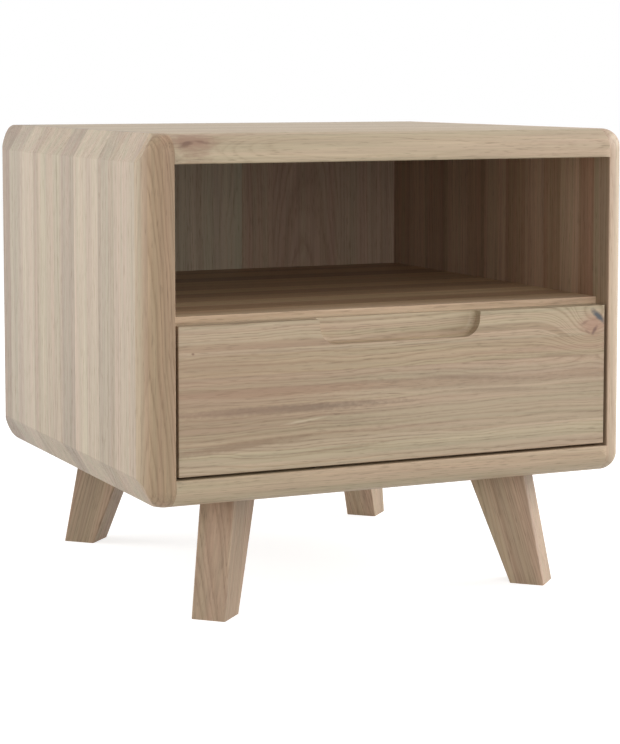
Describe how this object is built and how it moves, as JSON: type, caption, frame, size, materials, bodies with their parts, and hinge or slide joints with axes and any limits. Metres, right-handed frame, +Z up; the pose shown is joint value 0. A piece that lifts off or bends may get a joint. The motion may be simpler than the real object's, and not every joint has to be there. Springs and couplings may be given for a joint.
{
  "type": "bedside cabinet",
  "caption": "Low solid oak bedside cabinet with bevelled and rounded corners, an open niche, a drawer with a routed finger recess, and tapered splayed legs.",
  "frame": {"origin": "on the floor, under the middle of the carcass", "axes": "+X to the cabinet's right as seen from the front, the front faces -Y, +Z up"},
  "size_m": [0.45, 0.4176, 0.4],
  "materials": {
    "oak_board": "edge-glued solid oak staves, pale matt oil",
    "oak_leg": "solid oak with the grain along the leg, pale matt oil",
    "oak_panel": "oak-faced board with upright grain, pale matt oil",
    "drawer_wood": "solid oak drawer boards, fine sanded",
    "drawer_panel": "thin oak-faced plywood, lacquered",
    "beech_dowel": "beech dowel rod",
    "zinc_steel": "rolled steel, bright zinc plate",
    "polished_steel": "polished bearing steel",
    "brass": "turned brass",
    "clear_rubber": "soft clear bumper, slightly milky"
  },
  "bodies": {
    "cabinet": {"back_panel": "oak_panel", "back_panel_pins": "zinc_steel", "bottom_board": "oak_board", "bottom_board_dowels": "beech_dowel", "drawer_bumpers": "clear_rubber", "left_side_board": "oak_board", "leg_dowels": "beech_dowel", "leg_front_left": "oak_leg", "leg_front_right": "oak_leg", "leg_hanger_bolts": "zinc_steel", "leg_rear_left": "oak_leg", "leg_rear_right": "oak_leg", "leg_threaded_inserts": "brass", "right_side_board": "oak_board", "shelf_board": "oak_board", "shelf_dowels": "beech_dowel", "slide_cabinet_screws": "zinc_steel", "slide_outer_member_left": "zinc_steel", "slide_outer_member_right": "zinc_steel", "top_board": "oak_board", "top_board_dowels": "beech_dowel"},
    "drawer": {"drawer_bottom": "drawer_panel", "drawer_corner_dowels": "beech_dowel", "drawer_front": "oak_board", "drawer_front_screws": "zinc_steel", "drawer_inner_front": "drawer_wood", "drawer_rear_board": "drawer_wood", "drawer_side_left": "drawer_wood", "drawer_side_right": "drawer_wood", "slide_inner_member_left": "zinc_steel", "slide_inner_member_right": "zinc_steel", "slide_drawer_screws": "zinc_steel"},
    "ball_cage_set_left": {"ball_cage_left": "zinc_steel", "cage_balls_left": "polished_steel"},
    "ball_cage_set_right": {"ball_cage_right": "zinc_steel", "cage_balls_right": "polished_steel"}
  },
  "joints": [
    {"name": "drawer_slide", "type": "slide", "parent": "cabinet", "child": "drawer", "axis": [0, -1, 0], "range_m": [0, 0.25]},
    {"name": "cage_slide_left", "type": "slide", "parent": "cabinet", "child": "ball_cage_set_left", "axis": [0, -1, 0], "range_m": [0, 0.125]},
    {"name": "cage_slide_right", "type": "slide", "parent": "cabinet", "child": "ball_cage_set_right", "axis": [0, -1, 0], "range_m": [0, 0.125]}
  ],
  "couplings": [
    {"joint": "cage_slide_left", "follows": "drawer_slide", "ratio": 0.5},
    {"joint": "cage_slide_right", "follows": "drawer_slide", "ratio": 0.5}
  ]
}
